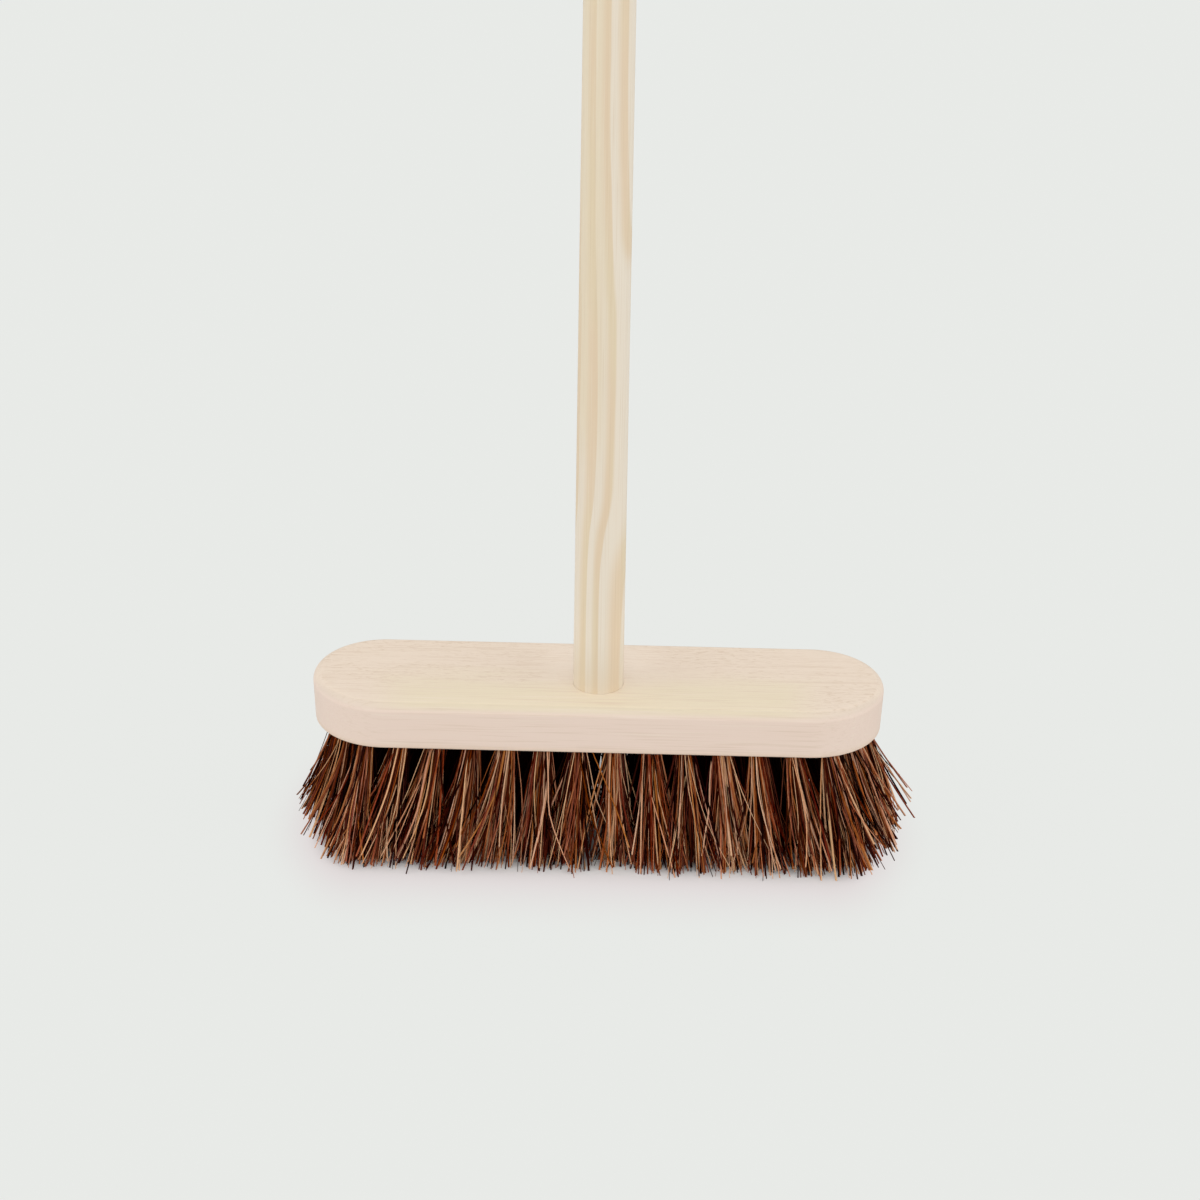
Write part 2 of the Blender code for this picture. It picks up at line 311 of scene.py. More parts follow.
# Camera, fitted to the photograph: pixels of its 1200 pixel frame per metre where the camera aims
PHOTO_PIXELS = 1200
PIXELS_PER_METRE = 1964
SENSOR = 36.0
CAMERA_DISTANCE = 2.8
CAMERA_ELEVATION = math.radians(28.356)
CAMERA_TURN = math.radians(0.86)
CAMERA_ROLL = math.radians(0.974)
CAMERA_CLIP = 100.0
AIM_HEIGHT = 65.0 * MM
AIM_RIGHT = 0.05 * MM
AIM_UP = 59.93 * MM

# Floor: a warm painted shadow round the bristles' footprint, and all of their real shadow in it and little
# beyond it
BACKGROUND = (232, 234, 231)
PAINTED_SHADOW_TINT = (224, 214, 215)
PAINTED_SHADOW_FADE = 31.0 * MM
FLOOR_SIZE = 12.0
FLOOR_BOUNCE = (0.52, 0.52, 0.52, 1.0)
FOOTPRINT_REACH = 119.0 * MM
FOOTPRINT_RADIUS = 24.0 * MM
FOOTPRINT_DEPTH_SHARE = 0.5
FLOOR_SHADOW_RANGE = (-7.0 * MM, 7.0 * MM, 1.0, 0.06)

# Even light from all round, at a level where a colour renders about as it is written
WHITE = (1.0, 1.0, 1.0, 1.0)
WORLD_LEVEL = 0.76

# Suns: name, azimuth from the front to the right and elevation in degrees, level, width in degrees
SUNS = (
    ("front_sun", 0, 30, 0.16, 40),
    ("left_sun", -70, 15, 0.33, 70),
    ("right_sun", 70, 15, 0.33, 70),
)


def linear(tint):
    """Turn a colour of 0 to 255 per channel into linear RGBA."""
    shares = [value / 255 for value in tint]
    return (*(s / 12.92 if s <= 0.04045 else ((s + 0.055) / 1.055) ** 2.4 for s in shares), 1.0)


def node(tree, kind, inputs=None, **settings):
    """Add a shader node, set its properties, and feed its inputs with values or other nodes' outputs."""
    made = tree.nodes.new(kind)
    for key, value in settings.items():
        setattr(made, key, value)
    for key, value in (inputs or {}).items():
        if isinstance(value, bpy.types.NodeSocket):
            tree.links.new(value, made.inputs[key])
        else:
            made.inputs[key].default_value = value
    return made


def maths(tree, operation, *values):
    """Return the output of a Math node."""
    return node(tree, "ShaderNodeMath", dict(enumerate(values)), operation=operation).outputs[0]


def product(tree, first, *others):
    """Return several values multiplied together."""
    for other in others:
        first = maths(tree, "MULTIPLY", first, other)
    return first


def length_of(tree, first, second):
    """Return the length of two sides at right angles to each other."""
    squares = [maths(tree, "POWER", side, 2.0) for side in (first, second)]
    return maths(tree, "SQRT", maths(tree, "ADD", *squares))


def mapped(tree, value, low, high, to_low=0.0, to_high=1.0):
    """Return a value moved from one range to another, with soft ends."""
    ranges = {"Value": value, "From Min": low, "From Max": high, "To Min": to_low, "To Max": to_high}
    return node(tree, "ShaderNodeMapRange", ranges, interpolation_type="SMOOTHSTEP").outputs[0]


def mixed(tree, share, first, second, blend="MIX"):
    """Return a mix of two colours, which are sockets 6, 7 and 2 of a Mix node."""
    made = node(tree, "ShaderNodeMix", {0: share, 6: first, 7: second}, data_type="RGBA", blend_type=blend)
    return made.outputs[2]


def grain(tree, place, size, detail, warp):
    """Return noise whose features have a real size along each axis, with finer detail and a warp."""
    scale = tuple(1 / length for length in size)
    stretched = node(tree, "ShaderNodeMapping", {"Vector": place, "Scale": scale}).outputs[0]
    inputs = {"Vector": stretched, "Scale": 1.0, "Detail": detail, "Distortion": warp}
    return node(tree, "ShaderNodeTexNoise", inputs).outputs[0]


def both_ways(tree, noise, reach):
    """Return noise of 0 to 1 spread to a reach on both sides of zero."""
    return maths(tree, "MULTIPLY_ADD", noise, 2 * reach, -reach)


def curved(tree, value, shares):
    """Return a value passed through a smooth curve."""
    curve = node(tree, "ShaderNodeFloatCurve", {"Value": value})
    points = curve.mapping.curves[0].points
    points[0].location, points[-1].location = shares[0], shares[-1]
    for place, height in shares[1:-1]:
        points.new(place, height)
    curve.mapping.update()
    return curve.outputs[0]


def own_place(tree):
    """Return each point's place on the object, as one vector and as its three parts."""
    place = node(tree, "ShaderNodeTexCoord").outputs["Object"]
    return place, node(tree, "ShaderNodeSeparateXYZ", {0: place}).outputs


def own_value(tree, name):
    """Return a value that the mesh holds for each of its points."""
    return node(tree, "ShaderNodeAttribute", attribute_name=name).outputs["Fac"]


def new_material(name):
    """Return a material, its tree and its Principled shader."""
    material = bpy.data.materials.new(name)
    material.use_nodes = True
    return material, material.node_tree, material.node_tree.nodes["Principled BSDF"]


def set_surface(tree, shader, colour, roughness, height, depth, gloss):
    """Feed a Principled shader with a colour, a roughness, a bump of a real depth and a specular level."""
    tree.links.new(colour, shader.inputs["Base Color"])
    tree.links.new(roughness, shader.inputs["Roughness"])
    bump = node(tree, "ShaderNodeBump", {"Height": height, "Distance": depth, "Strength": 1.0})
    tree.links.new(bump.outputs[0], shader.inputs["Normal"])
    shader.inputs["Specular IOR Level"].default_value = gloss


def stock_ground(tree, place, parts, upward):
    """Return the wood's plain colour, and how pink each place of the top is."""
    drift = grain(tree, place, *DRIFT_GRAIN)
    wandering = maths(tree, "ADD", parts[1], both_ways(tree, drift, CREAM_WANDER))
    behind = mapped(tree, wandering, *CREAM_BACK_RANGE)
    endward = mapped(tree, maths(tree, "ABSOLUTE", parts[0]), CREAM_REACH, CREAM_REACH + CREAM_FADE)
    pinker = maths(tree, "MAXIMUM", behind, endward)
    face = mixed(tree, pinker, linear(CREAM_TINT), linear(PINK_TINT))
    side = mixed(tree, drift, linear(SIDE_TINTS[0]), linear(SIDE_TINTS[1]))
    ground = mixed(tree, mapped(tree, upward, *FACE_RANGE), side, face)
    low = mapped(tree, parts[2], UNDERSIDE, UNDERSIDE + LOW_BAND, LOW_SHARE, 0.0)
    return mixed(tree, low, ground, linear(LOW_TINT)), pinker


def stock_flecks(tree, place, along, upward, pinker):
    """Return how strongly the short flecks of the top show."""
    flecks = mapped(tree, grain(tree, place, *FLECK_GRAIN), *FLECK_RANGE)
    zone = mapped(tree, grain(tree, place, *FLECK_ZONE_GRAIN), *FLECK_ZONE_RANGE)
    calmer = mapped(tree, maths(tree, "ABSOLUTE", along), *FLECK_MIDDLE_RANGE)
    pink_share = mapped(tree, pinker, *FLECK_PINK_RANGE)
    return product(tree, flecks, zone, calmer, pink_share, mapped(tree, upward, *FLECK_TOP_RANGE))


def painted_arris_shade(tree, facing):
    """Return how strongly painted shade darkens the rounding between top and side, most at the front."""
    rise = mapped(tree, facing[2], *ARRIS_RISE_RANGE)
    fall = mapped(tree, facing[2], *ARRIS_FALL_RANGE)
    return product(tree, rise, fall, mapped(tree, facing[1], *ARRIS_FRONT_RANGE))


def stock_material():
    """Pale planed wood, grain along X: lines, pale streaks and flecks on a creamy or pinker ground, with
    painted light behind the handle and painted shade on the front arris.
    """
    material, tree, shader = new_material("stock_wood_grain")
    place, parts = own_place(tree)
    normal = node(tree, "ShaderNodeNewGeometry").outputs["Normal"]
    facing = node(tree, "ShaderNodeSeparateXYZ", {0: normal}).outputs
    base, pinker = stock_ground(tree, place, parts, facing[2])
    lines = grain(tree, place, *LINE_GRAIN)
    lengthwise = maths(tree, "MULTIPLY_ADD", maths(tree, "ABSOLUTE", facing[0]), -LINE_END_LOSS, 1.0)
    line_share = product(tree, mapped(tree, lines, *LINE_RANGE), lengthwise)
    base = mixed(tree, line_share, base, linear(LINE_TINT))
    streaks = mapped(tree, grain(tree, place, *STREAK_GRAIN), *STREAK_RANGE)
    base = mixed(tree, streaks, base, linear(STREAK_TINT))
    flecks = stock_flecks(tree, place, parts[0], facing[2], pinker)
    base = mixed(tree, flecks, base, linear(FLECK_TINT))
    # Painted light behind the handle's foot, which offsets the handle's shadow on the top
    beside = node(tree, "ShaderNodeVectorMath", {0: place, 1: PAINTED_LIGHT_PLACE}, operation="DISTANCE")
    painted_light = mapped(tree, beside.outputs["Value"], *PAINTED_LIGHT_RANGE)
    base = mixed(tree, painted_light, base, linear(PAINTED_LIGHT_TINT))
    # Painted shade on the front arris, so that it renders no brighter than the top
    colour = mixed(tree, painted_arris_shade(tree, facing), base, ARRIS_PAINTED_SHADE, "MULTIPLY")
    roughness = mapped(tree, lines, *STOCK_ROUGHNESS_RANGE)
    height = maths(tree, "SUBTRACT", lines, product(tree, flecks, FLECK_DEPTH_SHARE))
    set_surface(tree, shader, colour, roughness, height, STOCK_BUMP, STOCK_GLOSS)
    return material


def ring_value(tree, place, parts):
    """Return how far through its year each point of the handle grew, from 0 to 1."""
    share = maths(tree, "DIVIDE", maths(tree, "SUBTRACT", parts[2], HANDLE_FOOT.z), HANDLE_LENGTH)
    drift = curved(tree, share, RING_DRIFT_SHARES)
    drift = maths(tree, "MULTIPLY_ADD", drift, RING_DRIFT, RING_DRIFT_START)
    calm = maths(tree, "MULTIPLY_ADD", parts[0], 1 / EDGE_CALM, 1.0)
    calm = maths(tree, "MINIMUM", maths(tree, "MAXIMUM", calm, EDGE_CALM_SHARE), 1.0)
    outward = maths(tree, "ADD", parts[0], PITH_DISTANCE - HANDLE_FOOT.x)
    sideways = maths(tree, "SUBTRACT", parts[1], HANDLE_FOOT.y)
    radius = maths(tree, "SUBTRACT", length_of(tree, outward, sideways), PITH_DISTANCE)
    moved = maths(tree, "SUBTRACT", radius, product(tree, drift, calm))
    right_part = maths(tree, "MAXIMUM", maths(tree, "SUBTRACT", moved, MIDDLE_BAND_END), 0.0)
    widening = curved(tree, share, RING_WIDENING_SHARES)
    moved = maths(tree, "SUBTRACT", moved, product(tree, right_part, widening))
    moved = maths(tree, "ADD", moved, both_ways(tree, grain(tree, place, *WAVER_GRAIN), WAVER))
    years = maths(tree, "DIVIDE", maths(tree, "ADD", moved, RING_PHASE), RING_PITCH)
    return maths(tree, "FRACT", years)


def handle_material():
    """Pale pine, grain along Z: wide soft tan bands with one sharp side, fine lines, and painted shade at
    the foot.
    """
    material, tree, shader = new_material("handle_pine_grain")
    place, parts = own_place(tree)
    year = ring_value(tree, place, parts)
    band = product(tree, mapped(tree, year, *LATE_RISE_RANGE), mapped(tree, year, *LATE_FALL_RANGE))
    patch = mapped(tree, grain(tree, place, *TAN_GRAIN), *TAN_RANGE)
    tan = mixed(tree, patch, linear(TAN_TINTS[0]), linear(TAN_TINTS[1]))
    above = maths(tree, "SUBTRACT", parts[2], STOCK_HIGH.z)
    leftward = mapped(tree, parts[0], *YELLOW_SIDE_RANGE)
    yellow = product(tree, leftward, mapped(tree, above, *YELLOW_HEIGHT_RANGE))
    pale = mixed(tree, yellow, linear(PALE_PINE_TINT), linear(YELLOW_PINE_TINT))
    base = mixed(tree, product(tree, band, TAN_SHARE), pale, tan)
    lines = grain(tree, place, *PINE_GRAIN)
    base = mixed(tree, mapped(tree, lines, *DARK_PINE_RANGE), base, linear(DARK_PINE_TINT))
    base = mixed(tree, mapped(tree, lines, *LIGHT_PINE_RANGE), base, linear(LIGHT_PINE_TINT))
    # Painted shade near the foot
    colour = mixed(tree, mapped(tree, above, *FOOT_SHADE_RANGE), base, linear(FOOT_PAINTED_SHADE))
    roughness = mapped(tree, lines, *HANDLE_ROUGHNESS_RANGE)
    height = maths(tree, "ADD", lines, product(tree, band, TAN_BUMP_SHARE))
    set_surface(tree, shader, colour, roughness, height, HANDLE_BUMP, HANDLE_GLOSS)
    return material


def fibre_material():
    """Stiff palm fibre: each strand has its own brown, nearly black to tan, with painted shade in the tone
    of inner fibres, and lengthwise streaks.
    """
    material, tree, shader = new_material("bassine_strands")
    streak = grain(tree, own_place(tree)[0], *FIBRE_GRAIN)
    tone = maths(tree, "ADD", own_value(tree, "tone"), both_ways(tree, streak, FIBRE_STREAK))
    ramp = node(tree, "ShaderNodeValToRGB", {0: tone})
    elements = ramp.color_ramp.elements
    for end in (0, -1):
        elements[end].position = FIBRE_TINTS[end][0]
        elements[end].color = linear(FIBRE_TINTS[end][1])
    for position, tint in FIBRE_TINTS[1:-1]:
        elements.new(position).color = linear(tint)
    hue, vividness = own_value(tree, "hue"), own_value(tree, "vividness")
    inputs = {"Hue": hue, "Saturation": vividness, "Color": ramp.outputs[0]}
    colour = node(tree, "ShaderNodeHueSaturation", inputs).outputs[0]
    roughness = mapped(tree, streak, *FIBRE_ROUGHNESS_RANGE)
    set_surface(tree, shader, colour, roughness, streak, FIBRE_BUMP, FIBRE_GLOSS)
    return material


def link_piece(name, mesh, material):
    """Put a mesh in the scene as a piece that rides on the broom's one body."""
    mesh.materials.append(material)
    piece = bpy.data.objects.new(name, mesh)
    bpy.context.scene.collection.objects.link(piece)
    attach(piece, "root")
    return piece


def add_ring(shape, points):
    """Add the vertices of one ring and return them."""
    return [shape.verts.new(point) for point in points]


def bridge(shape, lower, upper):
    """Add the faces between two rings of as many corners."""
    for index, corner in enumerate(lower):
        after = (index + 1) % len(lower)
        shape.faces.new((corner, lower[after], upper[after], upper[index]))


def finished(shape, name):
    """Turn a bmesh into a smooth shaded mesh whose real edges stay sharp."""
    bmesh.ops.remove_doubles(shape, verts=shape.verts, dist=MERGE_DISTANCE)
    bmesh.ops.recalc_face_normals(shape, faces=shape.faces)
    mesh = bpy.data.meshes.new(name)
    shape.to_mesh(mesh)
    shape.free()
    mesh.shade_smooth()
    mesh.set_sharp_from_angle(angle=SHARP_ANGLE)
    return mesh


def turned(shape, profile, sides, foot):
    """Add a closed solid of revolution from its (radius, height) profile."""
    corners = [shape.verts.new(foot + Vector((radius, 0, height))) for radius, height in profile]
    lines = [shape.edges.new(pair) for pair in zip(corners, corners[1:])]
    bmesh.ops.spin(shape, geom=corners + lines, cent=foot, axis=(0, 0, 1), angle=math.tau, steps=sides)


def stadium(inset, height):
    """Return the stock's outline, two straight sides with full-round ends, drawn in by an inset."""
    radius = HALF_WIDTH - inset
    reach = HALF_LENGTH - HALF_WIDTH
    points = []
    for side in (1, -1):
        for step in range(END_SEGMENTS + 1):
            angle = math.pi * (step / END_SEGMENTS - 0.5)
            along = reach + radius * math.cos(angle)
            points.append(Vector((side * along, side * radius * math.sin(angle), height)))
    return points


def stock_profile():
    """Return the (inset, height) steps up the stock's side, which leans in downwards from its top."""
    steps = []
    for step in range(LOWER_SEGMENTS + 1):
        angle = math.pi / 2 * step / LOWER_SEGMENTS
        height = UNDERSIDE + LOWER_ROUNDING * (1 - math.cos(angle))
        steps.append((LOWER_ROUNDING * (1 - math.sin(angle)), height))
    for step in range(TOP_SEGMENTS + 1):
        angle = math.pi / 2 * step / TOP_SEGMENTS
        height = STOCK_HIGH.z - TOP_ROUNDING * (1 - math.sin(angle))
        steps.append((TOP_ROUNDING * (1 - math.cos(angle)), height))
    lean = SIDE_DRAFT / STOCK_HEIGHT
    return [(inset + lean * (STOCK_HIGH.z - height), height) for inset, height in steps]


def cut(block, shape, name):
    """Subtract a closed shape from a block."""
    cutter = bpy.data.objects.new(name, finished(shape, name))
    bpy.context.scene.collection.objects.link(cutter)
    modifier = block.modifiers.new(name, "BOOLEAN")
    modifier.operation = "DIFFERENCE"
    modifier.solver = "EXACT"
    modifier.object = cutter
    bpy.context.view_layer.update()
    evaluated = block.evaluated_get(bpy.context.evaluated_depsgraph_get())
    block.data = bpy.data.meshes.new_from_object(evaluated)
    block.modifiers.clear()
    bpy.data.objects.remove(cutter)


def socket_shape():
    """Return the handle's socket, a little wider and deeper than its foot and open at the top."""
    radius = HANDLE_RADIUS + SOCKET_GAP
    above = STOCK_HIGH.z - HANDLE_FOOT.z + OVERRUN
    profile = ((0, -SOCKET_SPACE), (radius, -SOCKET_SPACE), (radius, above), (0, above))
    shape = bmesh.new()
    turned(shape, profile, HANDLE_SIDES, HANDLE_FOOT)
    return shape


def holes_shape(tufts):
    """Return the blind holes of all tufts, open at the underside and with drill points."""
    straight = HOLE_DEPTH - HOLE_POINT
    profile = ((0, -OVERRUN), (HOLE_RADIUS, -OVERRUN), (HOLE_RADIUS, straight), (0, HOLE_DEPTH))
    shape = bmesh.new()
    for centre in tufts.values():
        turned(shape, profile, HOLE_SIDES, centre)
    return shape


def make_stock(tufts):
    """Make the wooden block, with the handle's socket and a blind hole for each tuft."""
    shape = bmesh.new()
    rings = [add_ring(shape, stadium(inset, height)) for inset, height in stock_profile()]
    for lower, upper in zip(rings, rings[1:]):
        bridge(shape, lower, upper)
    shape.faces.new(reversed(rings[0]))
    shape.faces.new(rings[-1])
    stock = link_piece("stock_block", finished(shape, "stock_block"), stock_material())
    cut(stock, socket_shape(), "socket")
    cut(stock, holes_shape(tufts), "holes")
    stock.data.shade_smooth()
    stock.data.set_sharp_from_angle(angle=SHARP_ANGLE)
    weights = stock.modifiers.new("weights", "WEIGHTED_NORMAL")
    weights.keep_sharp = True
    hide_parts("stock")


def make_handle():
    """Make the round pole, with a chamfered foot and a domed upper end."""
    shoulder = HANDLE_LENGTH - HANDLE_DOME
    profile = [(0, 0), (HANDLE_RADIUS - HANDLE_CHAMFER, 0), (HANDLE_RADIUS, HANDLE_CHAMFER)]
    for step in range(DOME_SEGMENTS + 1):
        angle = math.pi / 2 * step / DOME_SEGMENTS
        radius = HANDLE_RADIUS * math.cos(angle) if step < DOME_SEGMENTS else 0
        profile.append((radius, shoulder + HANDLE_DOME * math.sin(angle)))
    shape = bmesh.new()
    turned(shape, profile, HANDLE_SIDES, HANDLE_FOOT)
    handle = link_piece("handle_pole", finished(shape, "handle_pole"), handle_material())
    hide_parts("handle")


def tuft_centres():
    """Return the middle of each tuft's hole at the underside, from the folded root of its solid."""
    centres = {}
    for name in TUFT_NODES:
        points = np.array([vertex.co[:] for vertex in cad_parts[name].data.vertices])
        root = points[points[:, 2] > UNDERSIDE + ROOT_CLEARANCE]
        middle = (root.min(axis=0) + root.max(axis=0)) / 2
        centres[name] = Vector((middle[0], middle[1], UNDERSIDE))
    return centres


def endness(along):
    """Return how near a place along the stock is to its end, from 0 to 1 and mostly close to the end."""
    return abs(along / HALF_LENGTH) ** ENDNESS_POWER


def headings(angle):
    """Return the level unit vectors at some angles."""
    return np.stack([np.cos(angle), np.sin(angle)], axis=1)


def tuft_lean(draw, centre):
    """Return how far a whole tuft leans at its tips, along the stock and to its side."""
    end = centre.x / HALF_LENGTH
    reach, shares = (LEFT_LEAN, LEFT_LEAN_SHARES) if end < 0 else (RIGHT_LEAN, RIGHT_LEAN_SHARES)
    along = math.copysign(1.0, end) * reach * np.interp(abs(end), LEAN_STATION_SHARES, shares)
    return np.array([along, SIDE_LEAN * (centre.y / HALF_WIDTH)]) + draw.normal(0, LEAN_SPREAD, 2)


def fibre_tips(draw, centre, root):
    """Return each fibre's own sideways reach at its tip, its late turn, its length and its clump."""
    lean = tuft_lean(draw, centre)
    middle = root[draw.choice(FIBRES, CLUMPS, replace=False)]
    clump = np.linalg.norm(root[:, None] - middle[None], axis=2).argmin(axis=1)
    fan = FAN + END_FAN * endness(centre.x)
    clump_spread = middle / ROOT_RADIUS * fan + draw.normal(0, CLUMP_SCATTER, (CLUMPS, 2)) + lean
    spread = clump_spread[clump] + draw.normal(0, SCATTER, (FIBRES, 2))
    stray = draw.random(FIBRES) < STRAY_SHARE * (1 - END_CALM * endness(centre.x))
    away = headings(draw.uniform(0, math.tau, FIBRES)) * (1, STRAY_DEPTH_SHARE)
    spread += away * (stray * draw.uniform(*STRAY_REACH_SHARES, FIBRES) * STRAY_REACH)[:, None]
    late = draw.normal(0, LATE_TURN, (FIBRES, 2))
    length = FIBRE_LENGTH + draw.normal(0, LENGTH_SPREAD, FIBRES)
    length -= (draw.random(FIBRES) < SHORT_SHARE) * draw.uniform(0, SHORT_BY, FIBRES)
    loose = loosen_end(draw, centre, root, spread, length)
    keep_in(centre, spread, late, loose)
    return spread, late, length, clump


def loosen_end(draw, centre, root, spread, length):
    """Send some outer fibres near the right end far outwards and shorten them, and return which."""
    outward = math.copysign(1.0, centre.x)
    nearness = np.interp(abs(centre.x) / HALF_LENGTH, END_STRAY_STATION_SHARES, (0, 1))
    chance = nearness * (0 if outward < 0 else RIGHT_END_STRAY_SHARE)
    loose = (draw.random(FIBRES) < chance) & (root[:, 0] * outward > 0)
    spread[:, 0] = np.where(loose, outward * draw.uniform(*END_STRAY_REACH, FIBRES), spread[:, 0])
    length -= loose * draw.uniform(0, END_STRAY_SHORTER, FIBRES)
    return loose


def keep_in(centre, spread, late, loose):
    """Draw in the tips that would pass the end of the bundle, or a limit of their own if they are loose."""
    outward = math.copysign(1.0, centre.x)
    limit = np.where(loose, STRAY_EDGE, LEFT_EDGE if outward < 0 else RIGHT_EDGE) - abs(centre.x)
    spread[:, 0] -= outward * np.maximum(outward * (spread + late)[:, 0] - limit, 0)


def fibre_paths(draw, centre):
    """Return the centre line of each fibre of a tuft, as fibres by rings by XYZ, its root and its clump."""
    index = np.arange(FIBRES)
    angle = index * GOLDEN_ANGLE + draw.uniform(0, math.tau)
    root = headings(angle) * (ROOT_RADIUS * np.sqrt((index + 0.5) / FIBRES))[:, None]
    spread, late, length, clump = fibre_tips(draw, centre, root)
    calm = 1 - END_CALM * endness(centre.x)
    kinked = draw.random(FIBRES) < KINK_SHARE
    slope = kinked * draw.uniform(*KINK_SLOPE_SHARES, FIBRES) * KINK_SLOPE * calm
    kink_at = draw.uniform(*KINK_STATION_SHARES, FIBRES)[:, None, None]
    kink = (headings(draw.uniform(0, math.tau, FIBRES)) * slope[:, None])[:, None, :]
    bow = draw.normal(0, BOW * calm, (FIBRES, 2))[:, None, :]
    reach = np.linalg.norm(spread + late, axis=1)
    tip = np.maximum(UNDERSIDE - np.sqrt(np.maximum(length**2 - reach**2, 0)), 0)[:, None, None]
    rise = LEFT_END_POWER if centre.x < 0 else RIGHT_END_POWER
    power = (draw.uniform(*SPREAD_POWERS, FIBRES) + rise * endness(centre.x))[:, None, None]
    turn_at = draw.uniform(*LATE_TURN_SHARES, FIBRES)[:, None, None]
    along = np.linspace(0, 1, FIBRE_RINGS)[None, :, None]
    flat = root[:, None, :] + spread[:, None, :] * along**power
    flat = flat + late[:, None, :] * (np.maximum(along - turn_at, 0) / (1 - turn_at)) ** LATE_POWER
    flat = flat + bow * np.sin(math.pi * along)
    flat = flat + kink * np.maximum(along - kink_at, 0) + centre.xy
    limit = np.array([CAD_BOUNDS[1][0] + END_MARGIN, CAD_BOUNDS[1][1] + SIDE_MARGIN])
    top = UNDERSIDE + ROOT_DEPTH
    height = top + (tip - top) * along
    return np.concatenate([np.clip(flat, -limit, limit), height], axis=2), root + centre.xy, clump


def painted_inner_shade(root):
    """Return how much painted shade darkens each fibre: none outside and at the ends, most inside the
    bundle.
    """
    beyond = np.maximum(np.abs(root[:, 0]) - (HALF_LENGTH - HALF_WIDTH), 0)
    inside = HALF_WIDTH - np.hypot(beyond, root[:, 1])
    covered = np.clip((END_UNSHADED_START - np.abs(root[:, 0])) / END_SHADE_FADE, 0, 1)
    return INNER_PAINTED_SHADE * covered * np.clip((inside - UNSHADED_DEPTH) / INNER_SHADE_FADE, 0, 1)


def fibre_tubes(draw, paths, width):
    """Return the corners of flattened tubes around the centre lines, which twist and swell along them."""
    count, rings = paths.shape[:2]
    along = np.linspace(0, 1, rings)[None, :]
    flatness = draw.uniform(*FLATNESS_SHARES, count)
    twist = draw.normal(0, TWIST_SPREAD, count)[:, None] * along
    turn = draw.uniform(0, math.pi, count)[:, None] + twist
    swell = 1 + SWELL_SHARE * np.sin(along * draw.uniform(*SWELL_ANGLES, count)[:, None] + turn)
    corner = math.tau * np.arange(FIBRE_SIDES) / FIBRE_SIDES
    first = (width[:, None] / 2 * swell)[:, :, None] * np.cos(corner)
    second = (width[:, None] / 2 * flatness[:, None] * swell)[:, :, None] * np.sin(corner)
    cosine, sine = np.cos(turn)[:, :, None], np.sin(turn)[:, :, None]
    points = np.repeat(paths[:, :, None, :], FIBRE_SIDES, axis=2)
    points[..., 0] += first * cosine - second * sine
    points[..., 1] += first * sine + second * cosine
    return points


def tube_faces(count, rings):
    """Return the faces of closed tubes whose corners are listed fibre by fibre and ring by ring."""
    faces = []
    for fibre in range(count):
        base = fibre * rings * FIBRE_SIDES
        for ring in range(rings - 1):
            lower = base + ring * FIBRE_SIDES
            upper = lower + FIBRE_SIDES
            for side in range(FIBRE_SIDES):
                after = (side + 1) % FIBRE_SIDES
                faces.append((lower + side, upper + side, upper + after, lower + after))
        faces.append(tuple(base + side for side in range(FIBRE_SIDES)))
        last = base + (rings - 1) * FIBRE_SIDES
        faces.append(tuple(last + side for side in reversed(range(FIBRE_SIDES))))
    return faces


def fibre_looks(draw, width, shade, clump, rings):
    """Return each fibre's tone at every ring, 0 for nearly black to 1 for tan, with painted shade inside the
    bundle and on some tips, its hue and its vividness.
    """
    count = len(width)
    tone = draw.normal(TONE, TONE_SPREAD, count) + draw.normal(0, TUFT_TONE_SPREAD) - shade
    tone += draw.normal(0, CLUMP_TONE_SPREAD, CLUMPS)[clump] - WIDE_SHADE * (width / FIBRE_WIDTH - 1)
    tone = np.clip(tone, 0, 1)[:, None]
    hue = PLAIN_HUE + draw.uniform(-HUE_REACH, HUE_REACH, count)[:, None]
    vividness = draw.uniform(*VIVIDNESS_LIMITS, count)[:, None]
    # Most tips are worn paler, and some get painted shade
    tip_change = np.where(draw.random(count) < DARK_TIP_SHARE, -DARK_TIP_SHADE, TIP_WEAR)[:, None]
    near_tip = np.clip((np.linspace(0, 1, rings) - TIP_START_SHARE) / (1 - TIP_START_SHARE), 0, 1)
    tone = np.clip(tone + tip_change * near_tip, 0, 1)
    return {"tone": tone, "hue": hue, "vividness": vividness}


def fibre_mesh(name, draw, paths, shade, clump):
    """Build a tuft's fibres around their centre lines, with their looks as values on their points."""
    count, rings = paths.shape[:2]
    width = np.clip(draw.normal(1, FIBRE_WIDTH_SPREAD, count) * FIBRE_WIDTH, *FIBRE_WIDTH_LIMITS)
    width *= 1 + END_WIDENING * endness(paths[0, 0, 0])
    points = fibre_tubes(draw, paths, width)
    mesh = bpy.data.meshes.new(name)
    mesh.from_pydata(points.reshape(-1, 3).tolist(), [], tube_faces(count, rings))
    mesh.shade_smooth()
    mesh.set_sharp_from_angle(angle=FIBRE_SHARP_ANGLE)
    for label, values in fibre_looks(draw, width, shade, clump, rings).items():
        attribute = mesh.attributes.new(label, "FLOAT", "POINT")
        values = np.repeat(np.broadcast_to(values, (count, rings)), FIBRE_SIDES)
        attribute.data.foreach_set("value", values.astype(np.float32))
    return mesh


def make_tufts(tufts):
    """Make the fibres of every tuft, each as one piece."""
    material = fibre_material()
    for number, (name, centre) in enumerate(tufts.items()):
        draw = np.random.default_rng(SEED + number)
        piece_name = name.replace("tuft", "fibres")
        paths, root, clump = fibre_paths(draw, centre)
        mesh = fibre_mesh(piece_name, draw, paths, painted_inner_shade(root), clump)
        piece = link_piece(piece_name, mesh, material)
        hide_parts(name)


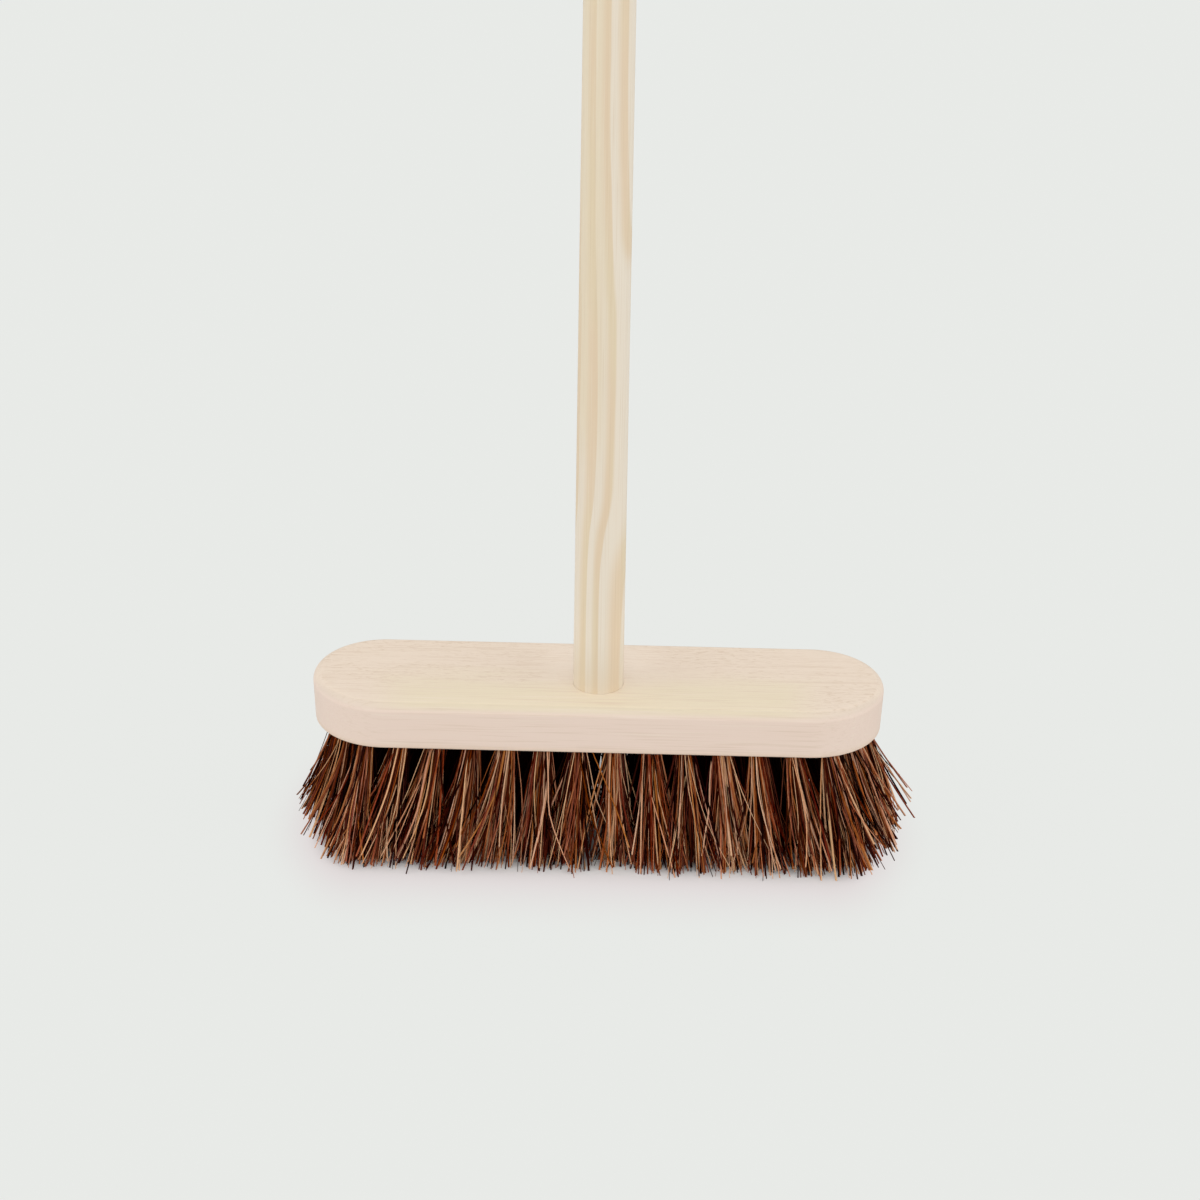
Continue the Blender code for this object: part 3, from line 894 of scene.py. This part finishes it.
def seen_directly(tree):
    """Return 1 for rays that show the stage to the camera, straight or by way of gloss or glass."""
    path = node(tree, "ShaderNodeLightPath").outputs
    gloss = maths(tree, "MAXIMUM", path["Is Glossy Ray"], path["Is Transmission Ray"])
    return maths(tree, "MAXIMUM", path["Is Camera Ray"], gloss)


def footprint_distance(tree):
    """Return how far outside the bristles' footprint a floor point lies, counting a share of its depth."""
    parts = own_place(tree)[1]
    beyond = maths(tree, "SUBTRACT", maths(tree, "ABSOLUTE", parts[0]), FOOTPRINT_REACH)
    beyond = maths(tree, "MAXIMUM", beyond, 0.0)
    depth = product(tree, parts[1], FOOTPRINT_DEPTH_SHARE)
    return maths(tree, "SUBTRACT", length_of(tree, beyond, depth), FOOTPRINT_RADIUS)


def floor_material():
    """Pale paper, even but for a warm painted shadow and the broom's own shadow near the bristles, which
    bounces little light.
    """
    material, tree, shader = new_material("floor_paper")
    tree.nodes.remove(shader)
    lit = node(tree, "ShaderNodeBsdfDiffuse", {"Color": linear(BACKGROUND)}).outputs[0]
    distance = footprint_distance(tree)
    nearness = maths(tree, "SUBTRACT", 1.0, maths(tree, "DIVIDE", distance, PAINTED_SHADOW_FADE))
    nearness = maths(tree, "MINIMUM", maths(tree, "MAXIMUM", nearness, 0.0), 1.0)
    # Painted shadow: a warm darker tint that fades out round the footprint
    painted_shadow = mixed(tree, product(tree, nearness, nearness), linear(BACKGROUND), linear(PAINTED_SHADOW_TINT))
    even = node(tree, "ShaderNodeEmission", {"Color": painted_shadow, "Strength": 1.0}).outputs[0]
    share = mapped(tree, distance, *FLOOR_SHADOW_RANGE)
    shown = node(tree, "ShaderNodeMixShader", {0: share, 1: even, 2: lit}).outputs[0]
    dim = node(tree, "ShaderNodeBsdfDiffuse", {"Color": FLOOR_BOUNCE}).outputs[0]
    surface = node(tree, "ShaderNodeMixShader", {0: seen_directly(tree), 1: dim, 2: shown}).outputs[0]
    tree.links.new(surface, tree.nodes["Material Output"].inputs["Surface"])
    return material


def make_floor():
    """Make the floor, one wide square."""
    half = FLOOR_SIZE / 2
    corners = [Vector((x * half, y * half, 0)) for x, y in ((-1, -1), (1, -1), (1, 1), (-1, 1))]
    mesh = bpy.data.meshes.new("floor")
    mesh.from_pydata(corners, [], [tuple(range(len(corners)))])
    mesh.materials.append(floor_material())
    floor = bpy.data.objects.new("floor", mesh)
    bpy.context.scene.collection.objects.link(floor)


def direction(azimuth, elevation):
    """Return the way to a place at an azimuth from the front towards the right and at an elevation."""
    level = math.cos(elevation)
    return Vector((math.sin(azimuth) * level, -math.cos(azimuth) * level, math.sin(elevation)))


def make_light():
    """Light the broom with an even world and wide soft suns."""
    world = bpy.data.worlds.new("studio")
    bpy.context.scene.world = world
    world.use_nodes = True
    tree = world.node_tree
    shown = tree.nodes["Background"]
    shown.inputs["Color"].default_value = linear(BACKGROUND)
    shown.inputs["Strength"].default_value = 1.0
    glow = node(tree, "ShaderNodeBackground", {"Color": WHITE, "Strength": WORLD_LEVEL})
    inputs = {0: seen_directly(tree), 1: glow.outputs[0], 2: shown.outputs[0]}
    surface = node(tree, "ShaderNodeMixShader", inputs).outputs[0]
    tree.links.new(surface, tree.nodes["World Output"].inputs["Surface"])
    for name, azimuth, elevation, level, width in SUNS:
        lamp = bpy.data.lights.new(name, "SUN")
        lamp.energy = level * math.pi
        lamp.angle = math.radians(width)
        sun = bpy.data.objects.new(name, lamp)
        source = direction(math.radians(azimuth), math.radians(elevation))
        sun.rotation_euler = source.to_track_quat("Z", "Y").to_euler()
        bpy.context.scene.collection.objects.link(sun)


def make_camera():
    """Place the camera as the photograph's, a long way off in front and above."""
    aim = Vector((0, 0, AIM_HEIGHT))
    offset = direction(CAMERA_TURN, CAMERA_ELEVATION)
    place = aim + offset * CAMERA_DISTANCE
    right = Vector((math.cos(CAMERA_TURN), math.sin(CAMERA_TURN), 0))
    target = aim + right * AIM_RIGHT + right.cross(-offset) * AIM_UP
    forward = (target - place).normalized()
    level = forward.cross(Vector((0, 0, 1))).normalized()
    upright = level.cross(forward)
    across = level * math.cos(CAMERA_ROLL) + upright * math.sin(CAMERA_ROLL)
    up = upright * math.cos(CAMERA_ROLL) - level * math.sin(CAMERA_ROLL)
    lens = bpy.data.cameras.new("camera")
    lens.sensor_width = SENSOR
    lens.lens = PIXELS_PER_METRE * CAMERA_DISTANCE / PHOTO_PIXELS * SENSOR
    lens.clip_end = CAMERA_CLIP
    camera = bpy.data.objects.new("camera", lens)
    turn = Matrix((across, up, -forward)).transposed()
    camera.matrix_world = Matrix.Translation(place) @ turn.to_4x4()
    bpy.context.scene.collection.objects.link(camera)
    bpy.context.scene.camera = camera


make_camera()
make_light()
make_floor()
tufts = tuft_centres()
make_stock(tufts)
make_handle()
make_tufts(tufts)
bpy.context.scene.view_settings.view_transform = "Standard"
bpy.context.view_layer.update()
